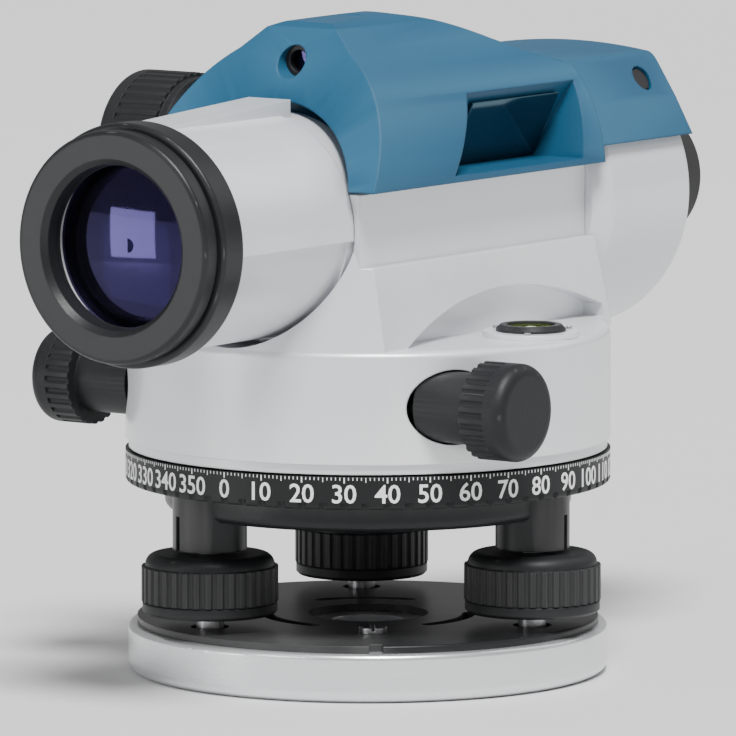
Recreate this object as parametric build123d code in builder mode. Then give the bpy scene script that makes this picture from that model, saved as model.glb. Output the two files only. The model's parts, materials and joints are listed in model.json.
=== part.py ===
from build123d import *
import os
from math import cos, radians, sin, sqrt

os.makedirs("parts", exist_ok=True)

# Automatic level. Millimetres, +Z up, +X along the line of sight, origin at the
# middle of the base plate's underside, on the standing axis.

# ---------------------------------------------------------------- driving sizes
# Base plate, spring plate and foot screws
base_radius = 52.0
base_height = 10.5
tripod_thread_radius = 7.94
spring_plate_radius = 50.0
spring_plate_thickness = 1.6
spring_plate_hole_radius = 13.0
foot_circle_radius = 40.0
foot_first_angle = 97.5
foot_stem_radius = 3.0
foot_ball_lift = 9.4
foot_knob_radius = 14.7
foot_knob_height = 13.0
foot_knob_lift = 3.1
foot_boss_radius = 8.0
foot_boss_drop = 6.5
seat_radius = 4.8

# Tribrach, spindle, circle and worm drive
tribrach_radius = 44.0
tribrach_thickness = 5.5
spindle_radius = 9.0
spindle_flange_radius = 13.0
circle_radius = 52.5
circle_height = 7.0
wheel_radius = 25.6
wheel_teeth = 60
worm_offset = 29.5
worm_lift = 12.0
worm_radius = 3.6
worm_shaft_radius = 2.5
tangent_head_radius = 10.4
tangent_head_length = 10.8
tangent_collar_radius = 7.6
tangent_reach = 62.3

# Housing and telescope
drum_radius = 52.5
drum_height = 24.0
drum_wall = 3.5
lip_height = 2.1
block_front = 42.0
block_rear = -45.0
block_half_width = 26.0
block_wall = 3.5
panel_height = 17.2
panel_top_half_width = 28.5
panel_foot_half_width = 33.0
band_height = 16.3
scope_lift = 24.5
barrel_radius = 24.0
barrel_wall = 4.0
shell_step = 0.6
spine_half_width = 5.5
spine_rise = 3.2
flange_rise = 1.75
flange_front = 87.2
flange_rear = 80.0
ring_rise = 0.5
ring_front = 92.0
ring_lip = 1.0
lens_shoulder = 1.6
lens_seat = 76.0
lens_rim = 3.0
rear_radius = 31.5
rear_end = -80.0

# Covers
cover_half_width = 31.5
hump_rise = 34.3
rake = 0.55
cover_wall = 2.4
rear_cover_step = 3.5
rear_cover_rise = 19.5
sight_radius = 2.4
sight_wall = 1.1

# Focusing, compensator and eyepiece
focus_x = 10.0
focus_lift = 12.5
focus_knob_radius = 16.4
focus_knob_inner = 37.0
focus_knob_outer = 54.0
focus_boss_radius = 11.0
focus_boss_reach = 36.0
focus_shaft_radius = 2.5
pinion_radius = 4.1
focus_cell_rear = 53.0
focus_cell_front = 63.0
focus_lens_radius = 14.0
pendulum_x = -29.0
pendulum_lift = 17.5
eyepiece_mount_radius = 19.5
dioptre_radius = 17.5
eyecup_radius = 16.5
eyecup_end = -108.0
ocular_radius = 11.94

# Circular bubble
bubble_x = -2.5
bubble_y = 41.0
bubble_cup_radius = 10.4
bubble_bezel_radius = 7.5
bubble_screw_radius = 0.7
bubble_wall = 1.6
bubble_sink = 3.8

# Clearances
run = 0.06
slip = 0.1
gap = 0.4

# ---------------------------------------------------------------- sizes that follow
barrel_bore = barrel_radius - barrel_wall
trough_radius = barrel_radius - shell_step
shell_radius = barrel_radius + shell_step
flange_radius = barrel_radius + flange_rise
ring_radius = barrel_radius + ring_rise
lens_radius = barrel_bore - lens_shoulder
ring_opening = lens_radius - ring_lip

# ---------------------------------------------------------------- stack heights
z_spring = base_height + spring_plate_thickness
z_knob = z_spring + foot_knob_lift
z_knob_top = z_knob + foot_knob_height
z_boss = z_knob_top + 2 * gap
z_tribrach = z_boss + foot_boss_drop
z_tribrach_top = z_tribrach + tribrach_thickness
z_circle = z_tribrach_top + 0.5
z_circle_top = z_circle + circle_height
z_lip = z_circle_top + gap
z_drum = z_lip + lip_height
z_worm = z_drum + worm_lift
z_shelf = z_drum + drum_height
z_ledge = z_shelf + panel_height
z_cover = z_ledge + band_height
z_axis = z_shelf + scope_lift
z_focus = z_axis + focus_lift
z_rear_cover = z_cover + rear_cover_step
z_sight = z_cover + 0.74 * hump_rise
z_pivot = z_axis + pendulum_lift
foot_angles = [foot_first_angle + 120 * i for i in range(3)]
feet = [
    (foot_circle_radius * cos(radians(a)), foot_circle_radius * sin(radians(a)))
    for a in foot_angles
]


def save(builder, label):
    """Name the finished piece and write it to its own file."""
    builder.part.label = label
    export_step(builder.part, f"parts/{label}.step")


def across(x, y, z):
    """A plane at (x, y, z) whose normal is +X, with local x along +Y and local y up."""
    return Plane(origin=(x, y, z), x_dir=(0, 1, 0), z_dir=(1, 0, 0))


def sideways(x, y, z):
    """A plane at (x, y, z) whose normal is +Y, with local x along -X and local y up."""
    return Plane(origin=(x, y, z), x_dir=(-1, 0, 0), z_dir=(0, 1, 0))


def bar(plane, outer, length, inner=0, mode=Mode.ADD):
    """A round bar or tube that grows from a plane."""
    with BuildSketch(plane) as section:
        Circle(outer)
        if inner:
            Circle(inner, mode=Mode.SUBTRACT)
    extrude(section.sketch, amount=length, mode=mode)


def knurled(plane, radius, length, grooves, groove_radius):
    """A round bar with grooves along its rim."""
    with BuildSketch(plane) as section:
        Circle(radius)
        with PolarLocations(radius + 0.4 * groove_radius, grooves):
            Circle(groove_radius, mode=Mode.SUBTRACT)
    extrude(section.sketch, amount=length)


def flat_box(x, y, z, mode=Mode.ADD):
    """A box from three (low, high) pairs."""
    with BuildSketch(Plane.XY.offset(z[0])) as section:
        with Locations(((x[0] + x[1]) / 2, (y[0] + y[1]) / 2)):
            Rectangle(x[1] - x[0], y[1] - y[0])
    extrude(section.sketch, amount=z[1] - z[0], mode=mode)


# ================================================================ base
socket_radius = seat_radius + 0.6
socket_floor = 3.1
plate_screw_circle = 30.0
plate_screw_radius = 1.5
plate_screw_reach = 5.0

with BuildPart() as base_plate:
    bar(Plane.XY, base_radius, base_height)
    fillet(base_plate.edges().group_by(Axis.Z)[0], 2.5)
    fillet(base_plate.edges().group_by(Axis.Z)[-1], 1.2)
    bar(Plane.XY, tripod_thread_radius, base_height, mode=Mode.SUBTRACT)
    with BuildSketch(Plane.XY.offset(socket_floor)):
        with PolarLocations(foot_circle_radius, 3, foot_first_angle):
            Circle(socket_radius)
    extrude(amount=base_height, mode=Mode.SUBTRACT)
    with BuildSketch(Plane.XY.offset(base_height)):
        with PolarLocations(plate_screw_circle, 3, foot_first_angle + 60):
            Circle(plate_screw_radius + run)
    extrude(amount=-plate_screw_reach - gap, mode=Mode.SUBTRACT)
save(base_plate, "base_plate")

with BuildPart() as spring_plate:
    with BuildSketch(Plane.XY.offset(base_height)):
        Circle(spring_plate_radius)
        Circle(spring_plate_hole_radius, mode=Mode.SUBTRACT)
        with PolarLocations(foot_circle_radius, 3, foot_first_angle):
            Circle(foot_stem_radius + 1.2, mode=Mode.SUBTRACT)
        with PolarLocations(plate_screw_circle, 3, foot_first_angle + 60):
            Circle(plate_screw_radius + run, mode=Mode.SUBTRACT)
        with PolarLocations(spring_plate_radius, 3, foot_first_angle + 60):
            Rectangle(6, 3, mode=Mode.SUBTRACT)
        for foot_angle in foot_angles:
            slot_arc = CenterArc((0, 0), 22, foot_angle - 26, 52, mode=Mode.PRIVATE)
            SlotArc(slot_arc, 3, mode=Mode.SUBTRACT)
    extrude(amount=spring_plate_thickness)
    fillet(spring_plate.edges().group_by(Axis.Z)[-1].sort_by(SortBy.LENGTH)[-1], 0.5)
save(spring_plate, "spring_plate")

with BuildPart() as spring_plate_screws:
    with BuildSketch(Plane.XY.offset(z_spring)):
        with PolarLocations(plate_screw_circle, 3, foot_first_angle + 60):
            Circle(plate_screw_radius)
    extrude(amount=-plate_screw_reach - spring_plate_thickness)
    with BuildSketch(Plane.XY.offset(z_spring)):
        with PolarLocations(plate_screw_circle, 3, foot_first_angle + 60):
            Circle(2 * plate_screw_radius)
    extrude(amount=1.3)
    with BuildSketch(Plane.XY.offset(z_spring + 0.7)):
        with PolarLocations(plate_screw_circle, 3, foot_first_angle + 60):
            Rectangle(6.4, 0.7)
    extrude(amount=1.0, mode=Mode.SUBTRACT)
save(spring_plate_screws, "spring_plate_screws")

# The third foot rests in a loose cup, about which the tribrach tips both ways.
seat_x, seat_y = feet[2]
with BuildPart() as foot_seat:
    bar(Plane(origin=(seat_x, seat_y, socket_floor + 0.5)), seat_radius, foot_ball_lift - socket_floor - 2.3)
    with Locations((seat_x, seat_y, foot_ball_lift)):
        Sphere(foot_stem_radius + slip, mode=Mode.SUBTRACT)
save(foot_seat, "foot_seat")

# ================================================================ foot screws
foot_stem_top = z_tribrach_top - 0.5


def foot_screw(label, x, y):
    """A ball-ended stem with a collar that the knob is pinned to."""
    with BuildPart() as screw:
        bar(Plane(origin=(x, y, foot_ball_lift)), foot_stem_radius, foot_stem_top - foot_ball_lift)
        with Locations((x, y, foot_ball_lift)):
            Sphere(foot_stem_radius)
    save(screw, label)


def foot_knob(label, x, y):
    """A grooved hand knob with a rounded crown and a plain skirt."""
    with BuildPart() as knob:
        with BuildSketch(Plane.XZ.offset(-y)):
            with BuildLine():
                Polyline(
                    (x + foot_stem_radius, z_knob), (x + foot_knob_radius - 0.8, z_knob),
                    (x + foot_knob_radius - 0.2, z_knob + 0.6), (x + foot_knob_radius - 0.2, z_knob + 2.4),
                    (x + foot_knob_radius - 0.8, z_knob + 2.7), (x + foot_knob_radius - 0.8, z_knob_top - 2.4),
                )
                RadiusArc(
                    (x + foot_knob_radius - 0.8, z_knob_top - 2.4),
                    (x + foot_knob_radius - 3.2, z_knob_top), -2.4,
                )
                Polyline(
                    (x + foot_knob_radius - 3.2, z_knob_top), (x + foot_stem_radius, z_knob_top),
                    (x + foot_stem_radius, z_knob),
                )
            make_face()
        revolve(axis=Axis((x, y, 0), (0, 0, 1)))
        with BuildSketch(Plane(origin=(x, y, z_knob + 2.7))):
            Circle(foot_knob_radius)
            Circle(foot_knob_radius - 1.4, mode=Mode.SUBTRACT)
            with PolarLocations(foot_knob_radius + 0.2, 36):
                Circle(0.75, mode=Mode.SUBTRACT)
        extrude(amount=foot_knob_height - 5.4)
    save(knob, label)


for foot_name, (foot_x, foot_y) in zip("abc", feet):
    foot_screw(f"foot_screw_{foot_name}", foot_x, foot_y)
    foot_knob(f"foot_knob_{foot_name}", foot_x, foot_y)

# ================================================================ tribrach and standing axis
spindle_top = z_shelf - 6.0

with BuildPart() as tribrach:
    bar(Plane.XY.offset(z_tribrach), tribrach_radius, tribrach_thickness)
    fillet(tribrach.edges().group_by(Axis.Z)[0], 2.0)
    with BuildSketch(Plane.XY.offset(z_boss)):
        with PolarLocations(foot_circle_radius, 3, foot_first_angle):
            Circle(foot_boss_radius)
    extrude(amount=z_tribrach_top - z_boss)
    bar(Plane.XY.offset(z_tribrach - 2), spindle_flange_radius + 2, 2.5)
    # Clamp slots, which split each boss along its outer side
    with BuildSketch(Plane.XY.offset(z_boss)):
        with PolarLocations(foot_circle_radius + foot_boss_radius, 3, foot_first_angle):
            Rectangle(2.6 * foot_boss_radius - 2 * foot_stem_radius, 1.4)
    extrude(amount=foot_boss_drop + 1, mode=Mode.SUBTRACT)
    with BuildSketch(Plane.XY.offset(z_boss)):
        with PolarLocations(foot_circle_radius, 3, foot_first_angle):
            Circle(foot_stem_radius + run)
    extrude(amount=z_tribrach_top - z_boss - 0.3, mode=Mode.SUBTRACT)
    bar(Plane.XY.offset(z_boss), spindle_radius + run, z_tribrach_top, mode=Mode.SUBTRACT)
save(tribrach, "tribrach")

with BuildPart() as spindle:
    bar(Plane.XY.offset(z_tribrach - 2), spindle_radius, spindle_top - z_tribrach + 2)
    bar(Plane.XY.offset(z_tribrach_top), spindle_flange_radius, 2)
    chamfer(spindle.edges().group_by(Axis.Z)[-1], 1.0)
save(spindle, "spindle")

circle_hub_z = z_tribrach_top + 2 + gap
with BuildPart() as horizontal_circle:
    bar(Plane.XY.offset(z_circle), circle_radius, circle_height, circle_radius - 4)
    bar(Plane.XY.offset(circle_hub_z), spindle_flange_radius, z_circle_top - gap - circle_hub_z,
        spindle_radius + run)
    bar(Plane.XY.offset(z_circle_top - 3), circle_radius - 3, 2, spindle_radius + run)
    fillet(horizontal_circle.edges().group_by(Axis.Z)[0].sort_by(SortBy.LENGTH)[-1], 0.8)
    # Grip scallops on the lower rim
    with BuildSketch(Plane.XY.offset(z_circle)):
        with PolarLocations(circle_radius + 0.5, 72):
            Circle(1.0)
    extrude(amount=1.4, mode=Mode.SUBTRACT)
save(horizontal_circle, "horizontal_circle")

wheel_face = 4.0
wheel_hub_height = 9.0
with BuildPart() as worm_wheel:
    with BuildSketch(Plane.XY.offset(z_worm - wheel_face / 2)):
        Circle(wheel_radius)
        with PolarLocations(wheel_radius + 0.3, wheel_teeth):
            Circle(0.8, mode=Mode.SUBTRACT)
    extrude(amount=wheel_face)
    bar(Plane.XY.offset(z_worm - wheel_hub_height / 2), spindle_radius + 4, wheel_hub_height)
    bar(Plane.XY.offset(z_worm - wheel_hub_height), spindle_radius + run, 2 * wheel_hub_height,
        mode=Mode.SUBTRACT)
save(worm_wheel, "worm_wheel")

# ================================================================ housing
drum_bore = drum_radius - drum_wall
drum_ceiling = z_shelf - 3.0
plug_height = 2.2
bush_radius = spindle_radius + 4
block_floor = z_shelf + 3.0
cavity_half_width = block_half_width - block_wall
barrel_rear = block_front - 12.0
housing_top = z_cover - 0.8
tangent_hole_radius = tangent_collar_radius + gap

bubble_wall_radius = bubble_bezel_radius + bubble_wall

# Alcove behind the circular bubble: a wide arch in the near panel
alcove_radius = 89.5
alcove_rise = 9.5
with BuildPart() as alcove:
    bar(sideways(bubble_x - 6, cavity_half_width + 5, z_shelf + alcove_rise - alcove_radius), alcove_radius, 20)
    flat_box((block_rear + 2.5, block_front - 5), (0, drum_radius), (z_shelf, z_ledge),
             mode=Mode.INTERSECT)

# Flared lower panels from the shelf to the ledge, whose front is a cone that runs down to the drum's rim
apron_top = z_axis - 2.0
apron_foot_radius = drum_radius - 0.1
apron_top_radius = drum_radius - 6.5
band_front = block_front - 2.5
with BuildPart() as panels:
    with BuildSketch(across(block_rear, 0, 0)):
        with BuildLine():
            Polyline(
                (-panel_foot_half_width, z_shelf - 2), (panel_foot_half_width, z_shelf - 2),
                (panel_foot_half_width, z_shelf), (panel_top_half_width, z_ledge),
                (block_half_width, z_ledge), (block_half_width, apron_top),
                (-block_half_width, apron_top), (-block_half_width, z_ledge),
                (-panel_top_half_width, z_ledge), (-panel_foot_half_width, z_shelf),
                (-panel_foot_half_width, z_shelf - 2),
            )
        make_face()
    extrude(amount=drum_radius - block_rear)
    with BuildPart(mode=Mode.INTERSECT):
        with Locations((0, 0, z_shelf - 2)):
            Cone(apron_foot_radius, apron_top_radius, apron_top - z_shelf + 2,
                 align=(Align.CENTER, Align.CENTER, Align.MIN))
        flat_box((block_rear, 0), (-drum_radius, drum_radius), (z_shelf - 2, apron_top))

with BuildPart() as main_housing:
    bar(Plane.XY.offset(z_drum), drum_radius, drum_height)
    fillet(main_housing.edges().group_by(Axis.Z)[-1], 1.6)
    add(panels.part)
    # Straight side bands
    flat_box((block_rear, band_front), (-block_half_width, block_half_width), (z_ledge - 1, housing_top))
    add(alcove.part, mode=Mode.SUBTRACT)
    # Well for the circular bubble
    bar(Plane(origin=(bubble_x, bubble_y, z_shelf - 5)), bubble_wall_radius + slip, 6, mode=Mode.SUBTRACT)
    # Boss for the focusing shaft
    bar(sideways(focus_x, -focus_boss_reach, z_focus), focus_boss_radius, focus_boss_reach - cavity_half_width)
    # Hollows
    bar(Plane.XY.offset(z_drum), drum_bore, drum_ceiling - z_drum, mode=Mode.SUBTRACT)
    flat_box((block_rear + block_wall, barrel_rear), (-cavity_half_width, cavity_half_width),
             (block_floor, z_cover + 30), mode=Mode.SUBTRACT)
    bar(across(barrel_rear - 1, 0, z_axis), barrel_radius + slip, 30, mode=Mode.SUBTRACT)
    bar(across(band_front - 1, 0, z_axis), shell_radius + slip, 30, mode=Mode.SUBTRACT)
    bar(across(block_rear - 1, 0, z_axis), 14, 20, mode=Mode.SUBTRACT)
    bar(sideways(focus_x, -focus_boss_reach - 1, z_focus), 6 + run, 30, mode=Mode.SUBTRACT)
    bar(sideways(worm_offset, -drum_radius, z_worm), tangent_hole_radius, 2 * drum_radius, mode=Mode.SUBTRACT)
    # Seat for the rear housing, which dips below the shelf
    bar(across(-drum_radius, 0, z_axis), rear_radius + slip, drum_radius + block_rear, mode=Mode.SUBTRACT)
save(main_housing, "main_housing")

with BuildPart() as bottom_cover:
    bar(Plane.XY.offset(z_lip), drum_radius - 0.7, lip_height, bush_radius + run)
    bar(Plane.XY.offset(z_drum), drum_bore - slip, plug_height, bush_radius + run)
save(bottom_cover, "bottom_cover")

with BuildPart() as spindle_bushes:
    bar(Plane.XY.offset(z_lip), bush_radius, z_worm - wheel_hub_height / 2 - gap - z_lip, spindle_radius + run)
    bar(Plane.XY.offset(z_worm + wheel_hub_height / 2 + gap), bush_radius,
        drum_ceiling - z_worm - wheel_hub_height / 2 - gap, spindle_radius + run)
save(spindle_bushes, "spindle_bushes")

bracket_reach = (22.0, 31.0)
with BuildPart() as worm_bracket:
    for side in (-1, 1):
        span = sorted((side * bracket_reach[0], side * bracket_reach[1]))
        flat_box((worm_offset - 5.5, worm_offset + 5.5), span, (z_worm - 6, drum_ceiling))
    bar(sideways(worm_offset, -drum_radius, z_worm), worm_shaft_radius + run, 2 * drum_radius,
        mode=Mode.SUBTRACT)
save(worm_bracket, "worm_bracket")

with BuildPart() as worm_shaft:
    bar(sideways(worm_offset, 2 - tangent_reach, z_worm), worm_shaft_radius, 2 * tangent_reach - 4)
    for turn in range(-4, 5):
        with BuildSketch(Plane.XZ.offset(-2.2 * turn)):
            with Locations((worm_offset, z_worm)):
                Circle(worm_radius)
        extrude(amount=0.7, both=True, taper=25)
save(worm_shaft, "worm_shaft")

collar_start = 38.0


def tangent_knob(label, side):
    """A ribbed head on a plain collar that turns in the drum's wall."""
    def facing(y):
        return Plane(origin=(worm_offset, side * y, z_worm), x_dir=(1, 0, 0), z_dir=(0, side, 0))

    head_start = tangent_reach - tangent_head_length
    with BuildPart() as knob:
        bar(facing(collar_start), tangent_collar_radius, head_start - collar_start)
        knurled(facing(head_start), tangent_head_radius, tangent_head_length - 4.6, 26, 0.8)
        bar(facing(tangent_reach - 4.8), tangent_head_radius, 4.8)
        outer_rim = knob.edges().filter_by(GeomType.CIRCLE).sort_by(Axis.Y)
        fillet(outer_rim[-1] if side > 0 else outer_rim[0], 2.6)
        bar(facing(0), worm_shaft_radius, tangent_reach - 2, mode=Mode.SUBTRACT)
    save(knob, label)


tangent_knob("tangent_knob_left", 1)
tangent_knob("tangent_knob_right", -1)

with BuildPart() as circle_index:
    index_plane = Plane.XY.offset(z_circle + 2.4)
    with BuildSketch(index_plane):
        with Locations((-circle_radius - gap - 0.6, 0)):
            Rectangle(1.2, 5)
    extrude(amount=z_drum + 4 - z_circle - 2.4)
    flat_box((-circle_radius - 1, -drum_radius + 0.3), (-2.5, 2.5), (z_drum + 0.5, z_drum + 4))
    bar(Plane.XY.offset(z_drum), drum_radius, 10, mode=Mode.SUBTRACT)
save(circle_index, "circle_index")

# ================================================================ telescope
shell_lip = z_axis - 1.6
with BuildPart() as telescope_barrel:
    bar(across(barrel_rear, 0, z_axis), trough_radius, flange_front - 2 - barrel_rear)
    bar(across(barrel_rear, 0, z_axis), barrel_radius, block_front - 1 - barrel_rear)
    bar(across(flange_rear, 0, z_axis), barrel_radius, flange_front - 2 - flange_rear)
    # Upper shell, a little fuller than the trough below it, so that its lip overhangs
    with BuildSketch(across(band_front, 0, z_axis)):
        Circle(shell_radius)
        with Locations((0, shell_lip - z_axis)):
            Rectangle(3 * shell_radius, 2 * shell_radius, align=(Align.CENTER, Align.MIN), mode=Mode.INTERSECT)
        Circle(trough_radius - 1, mode=Mode.SUBTRACT)
    extrude(amount=flange_rear - band_front)
    # Raised spine along the top, which runs out at the flange
    with BuildSketch(Plane.XZ):
        with BuildLine():
            Polyline(
                (block_front - 6, z_axis + barrel_radius - 3), (flange_rear, z_axis + barrel_radius - 3),
                (flange_rear, z_axis + shell_radius), (block_front - 6, z_axis + barrel_radius + spine_rise),
                (block_front - 6, z_axis + barrel_radius - 3),
            )
        make_face()
    extrude(amount=spine_half_width, both=True)
    # Bore, with a narrower seat for the objective
    bar(across(barrel_rear, 0, z_axis), barrel_bore, lens_seat - barrel_rear, mode=Mode.SUBTRACT)
    bar(across(lens_seat - 1, 0, z_axis), lens_radius + run, flange_front - lens_seat, mode=Mode.SUBTRACT)
save(telescope_barrel, "telescope_barrel")

with BuildPart() as objective_flange:
    with BuildSketch(across(flange_rear, 0, z_axis)):
        Circle(flange_radius)
        Circle(barrel_radius + run, mode=Mode.SUBTRACT)
    extrude(amount=flange_front - 2 - flange_rear)
    bar(across(flange_front - 2, 0, z_axis), flange_radius, 2, lens_radius + run)
    fillet(objective_flange.edges().filter_by(GeomType.CIRCLE).sort_by(SortBy.RADIUS)[-2:], 0.9)
save(objective_flange, "objective_flange")

ring_groove = 0.8
with BuildPart() as objective_ring:
    with BuildSketch(Plane.XZ):
        with BuildLine():
            Polyline(
                (flange_front, z_axis + lens_radius - 1.4), (flange_front, z_axis + ring_radius - 1.2),
                (flange_front + ring_groove, z_axis + ring_radius - 1.2),
                (flange_front + ring_groove, z_axis + ring_radius), (ring_front - 1, z_axis + ring_radius),
            )
            RadiusArc((ring_front - 1, z_axis + ring_radius), (ring_front, z_axis + ring_radius - 1), 1)
            Polyline(
                (ring_front, z_axis + ring_radius - 1), (ring_front, z_axis + ring_opening + 1.2),
                (ring_front - 1.2, z_axis + ring_opening), (flange_front + 1.2, z_axis + ring_opening - 0.4),
                (flange_front, z_axis + lens_radius - 1.4),
            )
        make_face()
    revolve(axis=Axis((0, 0, z_axis), (1, 0, 0)))
save(objective_ring, "objective_ring")


def rise(bulge, radius, height):
    """How far a spherical face stands beyond its rim, at a height from the axis."""
    sphere = (radius ** 2 + bulge ** 2) / (2 * abs(bulge))
    depth = abs(bulge) - sphere + sqrt(sphere ** 2 - height ** 2)
    return depth if bulge > 0 else -depth


def lens(label, rear, rim, radius, bulge_front, bulge_rear):
    """A round lens on the optical axis; a bulge is positive where the face is domed."""
    half = radius / 2
    face_rear = (rear - bulge_rear, z_axis)
    face_front = (rear + rim + bulge_front, z_axis)
    mid_rear = (rear - rise(bulge_rear, radius, half), z_axis + half)
    mid_front = (rear + rim + rise(bulge_front, radius, half), z_axis + half)
    with BuildPart() as glass:
        with BuildSketch(Plane.XZ):
            with BuildLine():
                ThreePointArc(face_rear, mid_rear, (rear, z_axis + radius))
                Line((rear, z_axis + radius), (rear + rim, z_axis + radius))
                ThreePointArc((rear + rim, z_axis + radius), mid_front, face_front)
                Line(face_front, face_rear)
            make_face()
        revolve(axis=Axis((0, 0, z_axis), (1, 0, 0)))
    save(glass, label)


flint_rear = lens_seat + 0.2
spacer_rear = flint_rear + lens_rim + 0.2
spacer_length = 1.7
lens("objective_flint", flint_rear, lens_rim, lens_radius, -1.6, 0.6)
lens("objective_crown", spacer_rear + spacer_length + 0.5, lens_rim, lens_radius, 1.7, 1.4)

with BuildPart() as lens_spacer:
    bar(across(spacer_rear, 0, z_axis), lens_radius, spacer_length, lens_radius - 1.4)
save(lens_spacer, "lens_spacer")

# ================================================================ focusing
rack_rear = focus_x - 14.0
rack_pitch = 2.0
rack_top = z_focus - pinion_radius - 0.3
rack_span = (-14.0, -8.0)

with BuildPart() as focusing_cell:
    bar(across(focus_cell_rear, 0, z_axis), barrel_bore - run, focus_cell_front - focus_cell_rear,
        focus_lens_radius)
    flat_box((rack_rear, focus_cell_rear + 2), rack_span, (rack_top - 3.4, rack_top))
    for tooth in range(20):
        tooth_x = rack_rear + rack_pitch * (tooth + 0.6)
        flat_box((tooth_x, tooth_x + 0.45 * rack_pitch), rack_span, (rack_top - 1.2, rack_top),
                 mode=Mode.SUBTRACT)
save(focusing_cell, "focusing_cell")

lens("focusing_lens", (focus_cell_rear + focus_cell_front) / 2 - 1, 3.4, focus_lens_radius, -1.0, -1.0)

with BuildPart() as focus_shaft:
    bar(sideways(focus_x, 2 - focus_knob_outer, z_focus), focus_shaft_radius, focus_knob_outer - 8)
    knurled(sideways(focus_x, rack_span[0], z_focus), pinion_radius, rack_span[1] - rack_span[0], 13, 0.7)
save(focus_shaft, "focus_shaft")

with BuildPart() as focus_bush:
    bar(sideways(focus_x, -focus_boss_reach, z_focus), 6, 14, focus_shaft_radius + run)
save(focus_bush, "focus_bush")

focus_length = focus_knob_outer - focus_knob_inner
with BuildPart() as focus_knob:
    knurled(sideways(focus_x, 4 - focus_knob_outer, z_focus), focus_knob_radius, focus_length - 6, 40, 0.9)
    bar(sideways(focus_x, -focus_knob_inner - 2, z_focus), focus_knob_radius - 1, 2)
    bar(sideways(focus_x, -focus_knob_outer, z_focus), focus_knob_radius, 4)
    outer_rim = focus_knob.edges().filter_by(GeomType.CIRCLE).sort_by(Axis.Y)[0]
    fillet(outer_rim, 1.8)
    bar(sideways(focus_x, 2 - focus_knob_outer, z_focus), focus_shaft_radius, 30, mode=Mode.SUBTRACT)
save(focus_knob, "focus_knob")

# ================================================================ compensator
cheek_inner = 9.0
cheek_outer = 11.5
pendulum_front = pendulum_x + 4.0
pendulum_foot = z_axis - 15.0
pivot_radius = 1.6

with BuildPart() as compensator_frame:
    flat_box((pendulum_x - 11, pendulum_x + 20), (-cheek_outer, cheek_outer), (block_floor, block_floor + 2))
    for side in (-1, 1):
        span = sorted((side * cheek_inner, side * cheek_outer))
        flat_box((pendulum_x - 7, pendulum_x + 7), span, (block_floor, z_pivot + 4))
    # Prism table
    flat_box((pendulum_x + 12, pendulum_x + 20), (-7, 7), (block_floor + 2, z_axis - 6.5))
    bar(sideways(pendulum_x, -cheek_outer - 1, z_pivot), pivot_radius + 0.4, 2 * cheek_outer + 2,
        mode=Mode.SUBTRACT)
save(compensator_frame, "compensator_frame")

with BuildPart() as pendulum:
    flat_box((pendulum_x - 4, pendulum_front), (-7.5, 7.5), (pendulum_foot, z_pivot + 2.5))
    bar(sideways(pendulum_x, -cheek_outer, z_pivot), pivot_radius, 2 * cheek_outer)
    flat_box((pendulum_x - 5, pendulum_x + 5), (-6, 6), (z_axis - 6, z_axis + 6), mode=Mode.SUBTRACT)
save(pendulum, "pendulum")

with BuildPart() as pendulum_prism:
    with BuildSketch(Plane.XZ):
        with BuildLine():
            Polyline(
                (pendulum_x - 3.5, z_axis - 6), (pendulum_x + 3.5, z_axis - 6), (pendulum_x, z_axis + 6),
                (pendulum_x - 3.5, z_axis - 6),
            )
        make_face()
    extrude(amount=5.8, both=True)
save(pendulum_prism, "pendulum_prism")

with BuildPart() as fixed_prism:
    with BuildSketch(Plane.XZ):
        with BuildLine():
            Polyline(
                (pendulum_x + 12, z_axis - 6.5), (pendulum_x + 20, z_axis - 6.5),
                (pendulum_x + 20, z_axis + 3), (pendulum_x + 12, z_axis + 6.5), (pendulum_x + 12, z_axis - 6.5),
            )
        make_face()
    extrude(amount=6.5, both=True)
save(fixed_prism, "fixed_prism")

with BuildPart() as damper_magnet:
    flat_box((pendulum_x - 3.5, pendulum_x + 3.5), (-6, 6), (block_floor + 2, pendulum_foot - gap))
save(damper_magnet, "damper_magnet")

# ================================================================ rear housing and eyepiece
rear_wall = 4.5
reticle_radius = 12.0
with BuildPart() as rear_housing:
    with BuildSketch(across(rear_end, 0, z_axis)):
        Circle(rear_radius)
        with Locations((0, z_rear_cover - z_axis)):
            Rectangle(80, 60, align=(Align.CENTER, Align.MIN), mode=Mode.SUBTRACT)
    extrude(amount=block_rear - gap / 4 - rear_end)
    rear_rim = rear_housing.edges().group_by(Axis.X)[0].filter_by(GeomType.CIRCLE)
    fillet(rear_rim, 3.0)
    front_rim = rear_housing.edges().group_by(Axis.X)[-1].filter_by(GeomType.CIRCLE)
    chamfer(front_rim, 3.6)
    with BuildSketch(across(rear_end + rear_wall, 0, z_axis)):
        Circle(rear_radius - 5)
        Rectangle(2 * cavity_half_width, 2 * rear_radius, mode=Mode.INTERSECT)
    extrude(amount=60, mode=Mode.SUBTRACT)
    bar(across(rear_end - 1, 0, z_axis), reticle_radius + run, 20, mode=Mode.SUBTRACT)
save(rear_housing, "rear_housing")

with BuildPart() as reticle_mount:
    bar(across(rear_end, 0, z_axis), reticle_radius, rear_wall + 0.5, 9.5)
    bar(across(rear_end + 1.5, 0, z_axis), 9.5, 1.2, 9.0)
save(reticle_mount, "reticle_mount")

with BuildPart() as reticle_glass:
    bar(across(rear_end + 2.7, 0, z_axis), 9.5, 1.5)
save(reticle_glass, "reticle_glass")

with BuildPart() as reticle_screws:
    with BuildSketch(across(rear_end + rear_wall + 0.5, 0, z_axis)):
        with PolarLocations(17.5, 4, 45):
            Circle(1.6)
    extrude(amount=2.2)
    with BuildSketch(across(rear_end + rear_wall, 0, z_axis)):
        with PolarLocations(17.5, 4, 45):
            Circle(2.6)
    extrude(amount=0.5)
save(reticle_screws, "reticle_screws")

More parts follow.
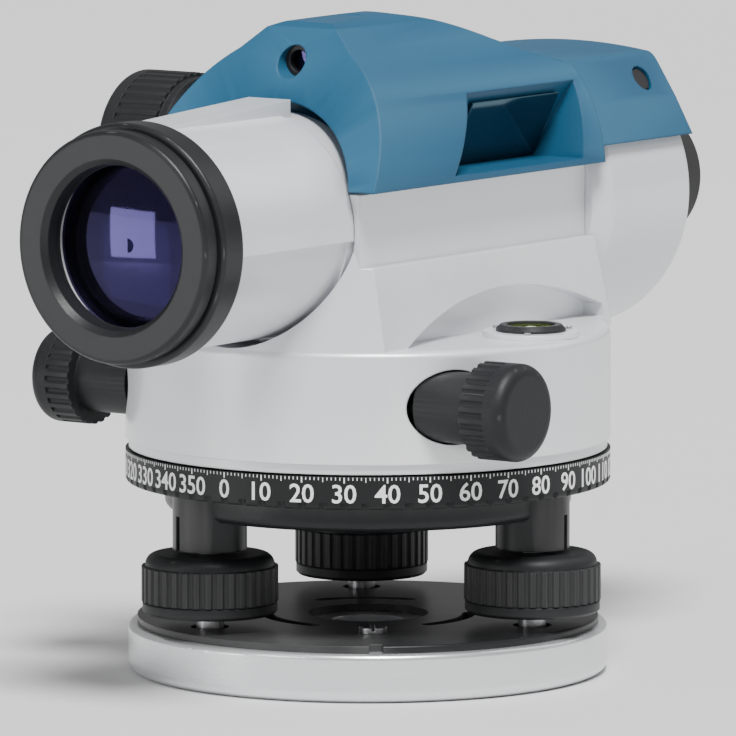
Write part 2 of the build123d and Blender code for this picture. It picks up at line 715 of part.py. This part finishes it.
mount_end = rear_end - 8.0
dioptre_end = eyecup_end + 9.0
with BuildPart() as eyepiece_mount:
    bar(across(mount_end, 0, z_axis), eyepiece_mount_radius, rear_end - mount_end, ocular_radius + run)
    fillet(eyepiece_mount.edges().filter_by(GeomType.CIRCLE).sort_by(SortBy.RADIUS)[-2:], 0.8)
save(eyepiece_mount, "eyepiece_mount")

with BuildPart() as dioptre_ring:
    knurled(across(dioptre_end, 0, z_axis), dioptre_radius, mount_end - gap - dioptre_end, 44, 0.7)
    bar(across(dioptre_end - 1, 0, z_axis), ocular_radius + gap, 20, mode=Mode.SUBTRACT)
save(dioptre_ring, "dioptre_ring")

with BuildPart() as eyecup:
    with BuildSketch(Plane.XZ):
        with BuildLine():
            Polyline(
                (dioptre_end, z_axis + ocular_radius + gap), (dioptre_end, z_axis + eyecup_radius),
                (eyecup_end + 1.5, z_axis + eyecup_radius - 1.2),
            )
            RadiusArc(
                (eyecup_end + 1.5, z_axis + eyecup_radius - 1.2),
                (eyecup_end, z_axis + eyecup_radius - 2.7), -1.5,
            )
            Polyline(
                (eyecup_end, z_axis + eyecup_radius - 2.7), (eyecup_end + 1, z_axis + eyecup_radius - 3.5),
                (dioptre_end - 3, z_axis + ocular_radius + gap), (dioptre_end, z_axis + ocular_radius + gap),
            )
        make_face()
    revolve(axis=Axis((0, 0, z_axis), (1, 0, 0)))
save(eyecup, "eyecup")

ocular_front = rear_end - 3.0
ocular_rear = dioptre_end - 0.5
with BuildPart() as ocular_tube:
    bar(across(ocular_rear, 0, z_axis), ocular_radius, ocular_front - ocular_rear, 10)
save(ocular_tube, "ocular_tube")

lens("field_lens", ocular_front - 5, 3.0, 10.0, -0.8, 1.0)
lens("eye_lens", ocular_rear + 1.4, 3.2, 10.0, 1.2, 0.6)

# ================================================================ covers
with BuildPart() as cover_gasket:
    flat_box((block_rear, barrel_rear), (-block_half_width, block_half_width), (housing_top, z_cover))
    flat_box((block_rear + block_wall, barrel_rear + 1), (-cavity_half_width, cavity_half_width),
             (housing_top, z_cover), mode=Mode.SUBTRACT)
    bar(sideways(focus_x, -drum_radius, z_focus), focus_boss_radius + gap, 2 * drum_radius,
        mode=Mode.SUBTRACT)
save(cover_gasket, "cover_gasket")

z_crest = z_cover + hump_rise
crest_rear = block_rear + 41.5
cover_rear = block_rear + 0.1
shoulder = (0.857 * cover_half_width, 0.437 * hump_rise)
bevel_low = (0.463 * cover_half_width, 0.806 * hump_rise)
bevel_high = (0.292 * cover_half_width, 0.941 * hump_rise)
recess_floor = z_cover + 1.4
recess_front_low = focus_x + 2.0
recess_front_high = focus_x - 13.0
recess_rear = block_rear + 2.6
recess_rear_low = block_rear + 8.5
mirror_low_y = 0.533 * cover_half_width
mirror_high_y = 0.838 * cover_half_width
recess_rise = 0.549 * hump_rise
recess_reach = cover_half_width + 8.5

# Slanted pocket in the near flank, open outward, whose back carries the mirror
with BuildPart() as recess:
    with BuildSketch(across(recess_rear, 0, 0)):
        with BuildLine():
            Polyline(
                (mirror_low_y, recess_floor), (mirror_high_y, recess_floor + recess_rise),
                (recess_reach, recess_floor + recess_rise), (recess_reach, recess_floor),
                (mirror_low_y, recess_floor),
            )
        make_face()
    extrude(amount=60)
    with BuildSketch(Plane.XZ.offset(-drum_radius)):
        with BuildLine():
            Polyline(
                (recess_rear_low, recess_floor), (recess_rear, recess_floor + recess_rise),
                (recess_front_high, recess_floor + recess_rise), (recess_front_low, recess_floor),
                (recess_rear_low, recess_floor),
            )
        make_face()
    extrude(amount=drum_radius, mode=Mode.INTERSECT)

hollow_half_width = 0.73 * cover_half_width
hollow_rise = 0.831 * hump_rise
hollow_front = block_front - 13.0
sight_rear = block_rear + 14.0

with BuildPart() as cover_hollow:
    with BuildSketch(across(cover_rear + cover_wall, 0, z_cover)):
        with BuildLine():
            Polyline(
                (-hollow_half_width, 0), (-hollow_half_width, 0.17 * hump_rise),
                (-0.82 * hollow_half_width, 0.45 * hump_rise), (-0.39 * hollow_half_width, hollow_rise),
                (0.39 * hollow_half_width, hollow_rise), (0.82 * hollow_half_width, 0.45 * hump_rise),
                (hollow_half_width, 0.17 * hump_rise), (hollow_half_width, 0), (-hollow_half_width, 0),
            )
        make_face()
    extrude(amount=90)
    with BuildSketch(Plane.XZ.offset(-cover_half_width)):
        with BuildLine():
            Polyline(
                (block_rear - 15, z_cover - 1), (block_rear - 15, z_cover + 0.50 * hump_rise),
                (block_rear + 12, z_cover + 0.60 * hump_rise), (block_rear + 34, z_cover + 0.84 * hump_rise),
                (hollow_front - 13, z_cover + 0.84 * hump_rise), (hollow_front, z_cover + 0.141 * hump_rise),
                (hollow_front, z_cover - 1), (block_rear - 15, z_cover - 1),
            )
        make_face()
    extrude(amount=2 * cover_half_width, mode=Mode.INTERSECT)
    # Leave a wall behind the slanted pocket
    with BuildSketch(across(block_rear - 5, 0, 0)):
        with BuildLine():
            Polyline(
                (mirror_low_y - 2.4, z_cover - 1), (mirror_high_y - 1.6, recess_floor + recess_rise + 2),
                (recess_reach, recess_floor + recess_rise + 2), (recess_reach, z_cover - 1),
                (mirror_low_y - 2.4, z_cover - 1),
            )
        make_face()
    extrude(amount=recess_front_low + 2 - block_rear + 5, mode=Mode.SUBTRACT)


def mirrored(point):
    """The same point on the other side of the middle plane."""
    return (-point[0], point[1])


with BuildPart() as main_cover:
    # Front view: rounded flanks, a bevel and a crowned crest
    with BuildSketch(across(cover_rear, 0, z_cover)):
        with BuildLine():
            Line((-cover_half_width, 0), (cover_half_width, 0))
            ThreePointArc((cover_half_width, 0), shoulder, bevel_low)
            Line(bevel_low, bevel_high)
            ThreePointArc(bevel_high, (0, hump_rise), mirrored(bevel_high))
            Line(mirrored(bevel_high), mirrored(bevel_low))
            ThreePointArc(mirrored(bevel_low), mirrored(shoulder), (-cover_half_width, 0))
        make_face()
    extrude(amount=block_front + 2 - cover_rear)
    # Side view: raked front, nearly level crest with a small rear sight, sloping back
    with BuildSketch(Plane.XZ.offset(-recess_reach)):
        with BuildLine():
            Polyline(
                (block_front, z_cover), (block_front - rake * (hump_rise - 2), z_crest - 2),
                (block_front - rake * (hump_rise - 2) - 2.5, z_crest - 0.8),
                (crest_rear + 10, z_crest - 0.3), (crest_rear + 8, z_crest + 0.4),
                (crest_rear + 3, z_crest + 0.1), (crest_rear, z_crest - 0.5),
            )
            ThreePointArc(
                (crest_rear, z_crest - 0.5), (crest_rear - 13.5, z_crest - 0.105 * hump_rise),
                (crest_rear - 27.5, z_crest - 0.275 * hump_rise),
            )
            Polyline(
                (crest_rear - 27.5, z_crest - 0.275 * hump_rise), (cover_rear, z_crest - 0.39 * hump_rise),
                (cover_rear, z_cover), (block_front, z_cover),
            )
        make_face()
    extrude(amount=2 * recess_reach, mode=Mode.INTERSECT)
    add(cover_hollow.part, mode=Mode.SUBTRACT)
    add(recess.part, mode=Mode.SUBTRACT)
    # Arch over the barrel, notch over the focusing boss, and the sighting tunnel
    bar(across(barrel_rear - 4, 0, z_axis), barrel_radius + 2.4, 30, mode=Mode.SUBTRACT)
    bar(sideways(focus_x, -drum_radius, z_focus), focus_boss_radius + gap, 20 + cavity_half_width / 2,
        mode=Mode.SUBTRACT)
    flat_box((focus_x - focus_boss_radius - gap, focus_x + focus_boss_radius + gap),
             (-drum_radius, -20), (z_cover, z_focus), mode=Mode.SUBTRACT)
    bar(across(sight_rear, 0, z_sight), sight_radius + sight_wall, 90, mode=Mode.SUBTRACT)
save(main_cover, "main_cover")

sight_front = block_front - rake * (z_sight - z_cover)
with BuildPart() as sight_tube:
    bar(across(sight_rear + 3, 0, z_sight), sight_radius + sight_wall, sight_front - sight_rear - 5.8,
        sight_radius)
save(sight_tube, "sight_tube")

with BuildPart() as sight_lenses:
    bar(across(sight_rear + 4.5, 0, z_sight), sight_radius, 1.5)
    bar(across(sight_front - 6, 0, z_sight), sight_radius, 1.5)
save(sight_lenses, "sight_lenses")

mirror_lean = (mirror_high_y - mirror_low_y) / recess_rise
mirror_low = 0.8
mirror_high = 14.2
mirror_depth = 1.3
with BuildPart() as bubble_mirror:
    with BuildSketch(across(recess_rear_low + 0.5, 0, recess_floor)):
        with BuildLine():
            Polyline(
                (mirror_low_y + mirror_lean * mirror_low, mirror_low),
                (mirror_low_y + mirror_lean * mirror_high, mirror_high),
                (mirror_low_y + mirror_lean * mirror_high + mirror_depth, mirror_high),
                (mirror_low_y + mirror_lean * mirror_low + mirror_depth, mirror_low),
                (mirror_low_y + mirror_lean * mirror_low, mirror_low),
            )
        make_face()
    extrude(amount=recess_front_high - 1 - recess_rear_low)
save(bubble_mirror, "bubble_mirror")

rear_half_width = cover_half_width - 0.5
facet_low = cover_half_width - 5.0
facet_high = cover_half_width - 11.5
facet_top = rear_cover_rise - 1.5
cover_screw_radius = 2.6
cover_screw_depth = 1.6
facet_normal = (0.838, 0.545)


def screw_seat(side):
    """The floor of a screw's counterbore, square to the rear cover's sloping facet."""
    out = facet_low - 3 - facet_normal[0] * cover_screw_depth
    up = z_rear_cover + 12.6 - facet_normal[1] * cover_screw_depth
    return Plane(origin=(rear_end + 9, side * out, up), z_dir=(0, side * facet_normal[0], facet_normal[1]))


with BuildPart() as rear_cover:
    with BuildSketch(across(rear_end, 0, z_rear_cover)):
        with BuildLine():
            Polyline(
                (-facet_high, facet_top), (-facet_low, 8), (-rear_half_width, 0), (rear_half_width, 0),
                (facet_low, 8), (facet_high, facet_top),
            )
            ThreePointArc((facet_high, facet_top), (0, rear_cover_rise), (-facet_high, facet_top))
        make_face()
    extrude(amount=block_rear - 0.1 - rear_end)
    fillet(rear_cover.edges().group_by(Axis.X)[0].group_by(Axis.Z)[-1], 2.0)
    with BuildSketch(across(rear_end + cover_wall, 0, z_rear_cover)):
        with BuildLine():
            Polyline(
                (4 - facet_high, facet_top - 2.5), (3.5 - facet_low, 7), (4 - rear_half_width, 0),
                (rear_half_width - 4, 0), (facet_low - 3.5, 7), (facet_high - 4, facet_top - 2.5),
                (4 - facet_high, facet_top - 2.5),
            )
        make_face()
    extrude(amount=60, mode=Mode.SUBTRACT)
    for side in (-1, 1):
        bar(screw_seat(side), cover_screw_radius + gap, 10, mode=Mode.SUBTRACT)
save(rear_cover, "rear_cover")

with BuildPart() as cover_screws:
    for side in (-1, 1):
        bar(screw_seat(side), cover_screw_radius, cover_screw_depth - 0.5)
save(cover_screws, "cover_screws")

# ================================================================ circular bubble
z_cup = z_shelf - bubble_sink
bubble_cup_height = 5.0
vial_floor = z_cup + 1.2
vial_shoulder = vial_floor + 3.6
vial_window_radius = bubble_bezel_radius - 2.2


def at_bubble(z):
    """A level plane over the middle of the circular bubble."""
    return Plane(origin=(bubble_x, bubble_y, z))


with BuildPart() as bubble_cup:
    bar(at_bubble(z_shelf), bubble_cup_radius, z_cup + bubble_cup_height - z_shelf)
    bar(at_bubble(z_cup), bubble_wall_radius, bubble_cup_height)
    bar(at_bubble(vial_floor), bubble_bezel_radius + run, bubble_cup_height, mode=Mode.SUBTRACT)
    with BuildSketch(at_bubble(z_shelf)):
        with PolarLocations(bubble_wall_radius, 3, 30):
            Circle(bubble_screw_radius + run)
    extrude(amount=bubble_cup_height, mode=Mode.SUBTRACT)
save(bubble_cup, "bubble_cup")

with BuildPart() as bubble_vial:
    bar(at_bubble(vial_floor), bubble_bezel_radius - slip, vial_shoulder - vial_floor)
    bar(at_bubble(vial_shoulder), vial_window_radius, 1.0)
save(bubble_vial, "bubble_vial")

with BuildPart() as bubble_bezel:
    bar(at_bubble(vial_shoulder), bubble_bezel_radius, 1.6, vial_window_radius)
    chamfer(bubble_bezel.edges().group_by(Axis.Z)[-1].sort_by(SortBy.LENGTH)[-1], 0.9)
save(bubble_bezel, "bubble_bezel")

with BuildPart() as bubble_screws:
    with BuildSketch(at_bubble(z_shelf)):
        with PolarLocations(bubble_wall_radius, 3, 30):
            Circle(bubble_screw_radius)
    extrude(amount=bubble_cup_height + 0.5 - bubble_sink)
save(bubble_screws, "bubble_screws")
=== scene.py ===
import json
import math

import bmesh
import bpy
from mathutils import Matrix, Vector


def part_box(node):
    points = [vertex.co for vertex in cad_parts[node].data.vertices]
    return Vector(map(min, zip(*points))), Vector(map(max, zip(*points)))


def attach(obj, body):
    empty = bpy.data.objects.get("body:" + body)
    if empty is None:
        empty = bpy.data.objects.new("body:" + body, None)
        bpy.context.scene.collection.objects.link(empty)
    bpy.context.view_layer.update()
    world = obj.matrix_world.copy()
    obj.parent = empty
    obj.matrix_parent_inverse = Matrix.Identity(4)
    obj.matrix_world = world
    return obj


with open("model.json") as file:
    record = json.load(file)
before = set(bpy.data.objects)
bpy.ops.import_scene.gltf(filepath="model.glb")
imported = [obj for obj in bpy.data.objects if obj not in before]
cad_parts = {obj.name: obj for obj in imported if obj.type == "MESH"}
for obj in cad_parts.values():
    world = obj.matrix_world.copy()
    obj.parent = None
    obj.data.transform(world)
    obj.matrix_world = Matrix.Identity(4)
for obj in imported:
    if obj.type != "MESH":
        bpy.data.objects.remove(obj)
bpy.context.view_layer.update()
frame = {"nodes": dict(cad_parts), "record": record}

MM = 0.001


# ---------------------------------------------------------------- materials
# A Mix node has a set of sockets for each data type. These are its factor and its colours.
MIX_FACTOR, MIX_COLOUR_A, MIX_COLOUR_B = 0, 6, 7
MIX_COLOUR_RESULT = 2

DRIFT_BAND = (0.3, 0.7)  # the noise values between which the two colours blend
WEAR_BAND = (0.56, 0.66)  # the pointiness at which an edge starts to wear, and where it is bare
GRAIN_DEPTH = 0.4 * MM
COAT_ROUGHNESS = 0.12
LENS_HAZE = (0.02, 0.06)  # roughness of clean and of hazy glass
LENS_IOR = 1.55

FINISH = {}


def node(tree, kind, x, y, **inputs):
    """Add a node at a place in the editor. An input's name has _ for each space."""
    n = tree.nodes.new(kind)
    n.location = (x, y)
    for key, value in inputs.items():
        n.inputs[key.replace("_", " ")].default_value = value
    return n


def new_material(name):
    """Add a node material to FINISH, and return its node tree and its main shader."""
    mat = bpy.data.materials.new(name)
    mat.use_nodes = True
    FINISH[name] = mat
    return mat.node_tree, mat.node_tree.nodes["Principled BSDF"]


def worn(tree, colour, bare):
    """Blend a colour into a bare one along the sharp edges."""
    geometry = node(tree, "ShaderNodeNewGeometry", -900, 480)
    edges = node(tree, "ShaderNodeMapRange", -650, 520,
                 From_Min=WEAR_BAND[0], From_Max=WEAR_BAND[1])
    tree.links.new(geometry.outputs["Pointiness"], edges.inputs["Value"])
    blend = node(tree, "ShaderNodeMix", -400, 400)
    blend.data_type = "RGBA"
    tree.links.new(edges.outputs["Result"], blend.inputs[MIX_FACTOR])
    tree.links.new(colour, blend.inputs[MIX_COLOUR_A])
    blend.inputs[MIX_COLOUR_B].default_value = (*bare, 1)
    return blend.outputs[MIX_COLOUR_RESULT]


def surface(name, low, high, rough, metallic=0.0, grain=900.0, bump=0.05, patch=25.0,
            wear=None, coat=0.0, edge=0.4 * MM, spec=0.5, stretch=None):
    """A procedural finish: slow colour drift, fine-grained bump, uneven gloss, rounded edges."""
    tree, bsdf = new_material(name)
    bsdf.inputs["Metallic"].default_value = metallic
    bsdf.inputs["Specular IOR Level"].default_value = spec
    bsdf.inputs["Coat Weight"].default_value = coat
    bsdf.inputs["Coat Roughness"].default_value = COAT_ROUGHNESS

    source = node(tree, "ShaderNodeTexCoord", -1300, 0).outputs["Object"]
    if stretch:
        mapping = node(tree, "ShaderNodeMapping", -1120, 0, Scale=stretch)
        tree.links.new(source, mapping.inputs["Vector"])
        source = mapping.outputs["Vector"]
    drift = node(tree, "ShaderNodeTexNoise", -900, 200, Scale=patch, Detail=5.0, Roughness=0.55)
    fine = node(tree, "ShaderNodeTexNoise", -900, -200, Scale=grain, Detail=3.0, Roughness=0.6)
    for noise in (drift, fine):
        tree.links.new(source, noise.inputs["Vector"])

    ramp = node(tree, "ShaderNodeValToRGB", -650, 250)
    for stop, position, tone in zip(ramp.color_ramp.elements, DRIFT_BAND, (low, high)):
        stop.position = position
        stop.color = (*tone, 1)
    tree.links.new(drift.outputs["Fac"], ramp.inputs["Fac"])
    colour = ramp.outputs["Color"]
    if wear:
        colour = worn(tree, colour, wear)
    tree.links.new(colour, bsdf.inputs["Base Color"])

    gloss = node(tree, "ShaderNodeMapRange", -650, -50, To_Min=rough[0], To_Max=rough[1])
    tree.links.new(drift.outputs["Fac"], gloss.inputs["Value"])
    tree.links.new(gloss.outputs["Result"], bsdf.inputs["Roughness"])

    rounded = node(tree, "ShaderNodeBevel", -650, -450, Radius=edge)
    rounded.samples = 4
    relief = node(tree, "ShaderNodeBump", -350, -300, Strength=bump, Distance=GRAIN_DEPTH)
    tree.links.new(fine.outputs["Fac"], relief.inputs["Height"])
    tree.links.new(rounded.outputs["Normal"], relief.inputs["Normal"])
    tree.links.new(relief.outputs["Normal"], bsdf.inputs["Normal"])


def optic(name, body, tint, clear, see_through):
    """Coated glass: a coloured mirror-like film over glass that is partly see-through."""
    tree, bsdf = new_material(name)
    drift = node(tree, "ShaderNodeTexNoise", -900, 200, Scale=30.0, Detail=3.0)
    ramp = node(tree, "ShaderNodeValToRGB", -650, 250)
    ramp.color_ramp.elements[0].color = (*body, 1)
    ramp.color_ramp.elements[1].color = (*[min(1.0, 1.6 * c + 0.01) for c in body], 1)
    tree.links.new(drift.outputs["Fac"], ramp.inputs["Fac"])
    tree.links.new(ramp.outputs["Color"], bsdf.inputs["Base Color"])
    haze = node(tree, "ShaderNodeMapRange", -650, -50, To_Min=LENS_HAZE[0], To_Max=LENS_HAZE[1])
    tree.links.new(drift.outputs["Fac"], haze.inputs["Value"])
    tree.links.new(haze.outputs["Result"], bsdf.inputs["Roughness"])
    bsdf.inputs["Specular IOR Level"].default_value = 1.0
    bsdf.inputs["Specular Tint"].default_value = (*tint, 1)
    bsdf.inputs["IOR"].default_value = LENS_IOR

    see = node(tree, "ShaderNodeBsdfTransparent", 100, -250, Color=(*clear, 1))
    mix = node(tree, "ShaderNodeMixShader", 350, 0)
    mix.inputs[0].default_value = see_through
    tree.links.new(bsdf.outputs["BSDF"], mix.inputs[1])
    tree.links.new(see.outputs["BSDF"], mix.inputs[2])
    tree.links.new(mix.outputs["Shader"], tree.nodes["Material Output"].inputs["Surface"])


# One finish for each material slot in the record.
surface("body_white", (0.70, 0.72, 0.745), (0.77, 0.785, 0.80), (0.30, 0.42), metallic=0.25,
        grain=1600.0, bump=0.07, wear=(0.86, 0.87, 0.88), coat=0.35)
surface("cover_blue", (0.008, 0.070, 0.140), (0.011, 0.082, 0.160), (0.40, 0.52),
        grain=1800.0, bump=0.10, wear=(0.03, 0.12, 0.21), edge=0.6 * MM, spec=0.35)
surface("black_plastic", (0.007, 0.008, 0.009), (0.014, 0.015, 0.016), (0.42, 0.56),
        grain=1500.0, bump=0.15, wear=(0.045, 0.045, 0.045), spec=0.3)
surface("black_paint", (0.008, 0.009, 0.010), (0.016, 0.017, 0.018), (0.30, 0.44),
        grain=1200.0, bump=0.07, wear=(0.07, 0.07, 0.07), spec=0.3)
surface("circle_black", (0.006, 0.007, 0.007), (0.012, 0.013, 0.014), (0.38, 0.52),
        grain=1300.0, bump=0.06, spec=0.3)
surface("base_silver", (0.72, 0.735, 0.75), (0.80, 0.81, 0.82), (0.22, 0.34), metallic=0.75,
        grain=420.0, bump=0.05, coat=0.3, stretch=(1, 1, 9))
surface("steel", (0.42, 0.42, 0.44), (0.56, 0.56, 0.58), (0.2, 0.36), metallic=1.0,
        grain=700.0, bump=0.05)
surface("brass", (0.55, 0.38, 0.14), (0.68, 0.48, 0.20), (0.2, 0.36), metallic=1.0, bump=0.05)
surface("dark_metal", (0.015, 0.015, 0.017), (0.03, 0.03, 0.033), (0.4, 0.6), metallic=0.4)
surface("rubber", (0.010, 0.010, 0.010), (0.018, 0.018, 0.018), (0.6, 0.8), grain=1500.0,
        bump=0.2)
optic("lens_glass", (0.001, 0.001, 0.003), (0.40, 0.33, 1.0), (0.42, 0.40, 0.55), 0.50)
surface("mirror", (0.02, 0.07, 0.10), (0.03, 0.085, 0.12), (0.05, 0.10), metallic=0.9, bump=0.0)

# Finishes for the bubble's vial, and for details that only this script makes.
optic("vial_glass", (0.20, 0.30, 0.02), (0.9, 1.0, 0.8), (0.86, 0.95, 0.55), 0.75)
surface("dial_white", (0.80, 0.80, 0.80), (0.90, 0.90, 0.90), (0.4, 0.5), bump=0.02, edge=0.0)
surface("bubble_air", (0.75, 0.82, 0.45), (0.85, 0.9, 0.6), (0.05, 0.1), bump=0.0)

slots = {part["node"]: part["material_slot"] for part in frame["record"]["subparts"]}
for name, piece in frame["nodes"].items():
    finish = FINISH["vial_glass"] if name == "bubble_vial" else FINISH[slots[name]]
    piece.data.materials.clear()
    piece.data.materials.append(finish)


# ---------------------------------------------------------------- making pieces
def join_in(mesh_object, body, finish):
    """Hand a finished detail piece to its body."""
    mesh_object.data.materials.clear()
    mesh_object.data.materials.append(FINISH[finish])
    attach(mesh_object, body)


def new_object(name, data):
    piece = bpy.data.objects.new(name, data)
    bpy.context.scene.collection.objects.link(piece)
    return piece


def from_bmesh(name, shape, smooth=False):
    """Turn a bmesh into an object, and free it."""
    mesh = bpy.data.meshes.new(name)
    shape.to_mesh(mesh)
    shape.free()
    for face in mesh.polygons:
        face.use_smooth = smooth
    return new_object(name, mesh)


def torus(name, centre, axis, major, minor, steps=72, sides=10):
    """A thin ring round an axis."""
    turn = Vector((0, 0, 1)).rotation_difference(Vector(axis)).to_matrix()
    shape = bmesh.new()
    rows = []
    for i in range(steps):
        around = 2 * math.pi * i / steps
        row = []
        for j in range(sides):
            across = 2 * math.pi * j / sides
            reach = major + minor * math.cos(across)
            point = Vector((reach * math.cos(around), reach * math.sin(around),
                            minor * math.sin(across)))
            row.append(shape.verts.new(turn @ point + Vector(centre)))
        rows.append(row)
    for i in range(steps):
        here, there = rows[i], rows[(i + 1) % steps]
        for j in range(sides):
            k = (j + 1) % sides
            shape.faces.new((here[j], there[j], there[k], here[k]))
    bmesh.ops.recalc_face_normals(shape, faces=shape.faces)
    return from_bmesh(name, shape, smooth=True)


# ---------------------------------------------------------------- the graduated circle
circle_low, circle_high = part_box("horizontal_circle")
circle_radius = circle_high.x

figure_every = 10  # degrees
figure_height = 4.0 * MM
figure_drop = 0.1 * MM  # below the rim's middle
figure_middle = (circle_low.z + circle_high.z) / 2 - figure_drop
figure_boldness = 0.012  # how far the outline grows, in font sizes
figure_relief = 0.008  # half the thickness, in font sizes


def on_rim(shape, angle, radius, height):
    """Wrap a thin bmesh, lying in its own XY plane, round the standing axis at an angle."""
    for vertex in shape.verts:
        turn = angle + vertex.co.x / radius
        reach = radius + vertex.co.z
        up = height + vertex.co.y
        vertex.co = Vector((reach * math.cos(turn), reach * math.sin(turn), up))


def figure(text):
    """A number as a thin solid, centred on its own origin."""
    curve = bpy.data.curves.new("figure", "FONT")
    curve.body = text
    curve.align_x = "CENTER"
    curve.align_y = "CENTER"
    curve.size = 1.0
    curve.resolution_u = 3
    curve.offset = figure_boldness
    curve.extrude = figure_relief
    holder = new_object("figure", curve)
    bpy.context.view_layer.update()
    solid = holder.evaluated_get(bpy.context.evaluated_depsgraph_get())
    mesh = bpy.data.meshes.new_from_object(solid)
    shape = bmesh.new()
    shape.from_mesh(mesh)
    bpy.data.objects.remove(holder)
    bpy.data.curves.remove(curve)
    bpy.data.meshes.remove(mesh)
    xs = [v.co.x for v in shape.verts]
    ys = [v.co.y for v in shape.verts]
    scale = figure_height / (max(ys) - min(ys))
    middle = Vector(((max(xs) + min(xs)) / 2, (max(ys) + min(ys)) / 2, 0))
    for vertex in shape.verts:
        vertex.co = (vertex.co - middle) * scale
    return shape


dial = bmesh.new()
for degree in range(0, 360, figure_every):
    number = figure(str(degree))
    bmesh.ops.subdivide_edges(number, edges=number.edges, cuts=1)
    on_rim(number, math.radians(degree), circle_radius, figure_middle)
    bmesh.ops.recalc_face_normals(number, faces=number.faces)
    wrapped = bpy.data.meshes.new("number")
    number.to_mesh(wrapped)
    number.free()
    dial.from_mesh(wrapped)
    bpy.data.meshes.remove(wrapped)
join_in(from_bmesh("dial_figures", dial), "circle", "dial_white")

tick_drop = 0.1 * MM  # below the rim's top edge
tick_top = circle_high.z - tick_drop
tick_relief = 0.05 * MM


def tick_size(degree):
    """Half the width, and the height, of the mark at a degree."""
    if degree % 10 == 0:
        return 0.14 * MM, 1.2 * MM
    if degree % 5 == 0:
        return 0.09 * MM, 1.0 * MM
    return 0.09 * MM, 0.6 * MM


ticks = bmesh.new()
for degree in range(360):
    half, height = tick_size(degree)
    box = bmesh.ops.create_cube(ticks, size=1.0)["verts"]
    turn = Matrix.Rotation(math.radians(degree), 4, "Z")
    place = turn @ Matrix.Translation((circle_radius, 0, tick_top - height / 2))
    bmesh.ops.scale(ticks, vec=(2 * tick_relief, 2 * half, height), verts=box)
    bmesh.ops.transform(ticks, matrix=place, verts=box)
join_in(from_bmesh("dial_ticks", ticks), "circle", "dial_white")

# ---------------------------------------------------------------- the circular bubble
vial_low, vial_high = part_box("bubble_vial")
vial_middle = (vial_low + vial_high) / 2
air_radius = 2.0 * MM
air_flatness = 0.25  # its height as a share of its width
air_depth = 0.4 * MM  # of its middle, below the vial's top
mark_radius = 2.6 * MM
mark_wire = 0.14 * MM

air = bmesh.new()
bmesh.ops.create_uvsphere(air, u_segments=32, v_segments=16, radius=air_radius)
for vertex in air.verts:
    vertex.co.z *= air_flatness
    vertex.co += Vector((vial_middle.x, vial_middle.y, vial_high.z - air_depth))
join_in(from_bmesh("bubble_air", air, smooth=True), "alidade", "bubble_air")

mark_centre = (vial_middle.x, vial_middle.y, vial_high.z)
ring = torus("bubble_ring", mark_centre, (0, 0, 1), mark_radius, mark_wire)
join_in(ring, "alidade", "black_plastic")

# ---------------------------------------------------------------- rings on the focusing knob's end
knob_low, knob_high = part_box("focus_knob")
knob_end = ((knob_low.x + knob_high.x) / 2, knob_low.y, (knob_low.z + knob_high.z) / 2)
knob_ring_radii = (5.0 * MM, 9.0 * MM, 12.5 * MM)
knob_ring_wire = 0.3 * MM
for index, radius in enumerate(knob_ring_radii, start=1):
    rim = torus(f"focus_knob_ring_{index}", knob_end, (0, 1, 0), radius, knob_ring_wire)
    join_in(rim, "focus_drive", "black_plastic")

# ---------------------------------------------------------------- stage, light and camera
span = 12.0  # half the floor's width
corners = [(-span, -span, 0), (span, -span, 0), (span, span, 0), (-span, span, 0)]
floor_mesh = bpy.data.meshes.new("floor")
floor_mesh.from_pydata(corners, [], [(0, 1, 2, 3)])
floor = new_object("floor", floor_mesh)
surface("floor_paper", (0.66, 0.66, 0.665), (0.70, 0.70, 0.705), (0.7, 0.85), grain=60.0,
        bump=0.02, patch=0.6, edge=0.0)
floor.data.materials.append(FINISH["floor_paper"])

world = bpy.data.worlds.new("studio")
bpy.context.scene.world = world
world.use_nodes = True
backdrop = world.node_tree.nodes["Background"]
backdrop.inputs["Color"].default_value = (1.0, 1.0, 1.0, 1)
backdrop.inputs["Strength"].default_value = 0.36


def softbox(name, place, aim, width, height, power):
    """A rectangular lamp at a place, turned to its aim. Sizes are in metres, power in watts."""
    light = bpy.data.lights.new(name, "AREA")
    light.shape = "RECTANGLE"
    light.size = width
    light.size_y = height
    light.energy = power
    holder = new_object(name, light)
    holder.location = place
    holder.rotation_euler = (Vector(aim) - Vector(place)).to_track_quat("-Z", "Y").to_euler()


def sun(name, toward, strength, spread):
    """Parallel light that comes from a direction, spread over some degrees for soft shadows."""
    light = bpy.data.lights.new(name, "SUN")
    light.energy = strength
    light.angle = math.radians(spread)
    holder = new_object(name, light)
    holder.rotation_euler = Vector(toward).to_track_quat("Z", "Y").to_euler()


level_middle = (0, 0, 0.08)
objective = (0.087, 0, 0.0995)
sun("key", toward=(0.45, 0.48, 1.3), strength=5.4, spread=20)
softbox("front", (1.3, -0.25, 0.75), level_middle, width=0.5, height=0.5, power=3.5)
softbox("window", (0.573, -0.346, 0.065), objective, width=0.15, height=0.11, power=0.4)
softbox("rim", (-0.9, 0.5, 0.9), level_middle, width=0.5, height=0.9, power=2.0)

camera_place = (1.6259, 1.1597, 0.3035)
camera_aim = (0, 0, 0.0655)
camera_data = bpy.data.cameras.new("camera")
camera_data.sensor_width = 36.0
camera_data.lens = 454.8
camera_data.dof.use_dof = False
camera = new_object("camera", camera_data)
camera.location = camera_place
view = Vector(camera_aim) - camera.location
camera.rotation_euler = view.to_track_quat("-Z", "Y").to_euler()
bpy.context.scene.camera = camera
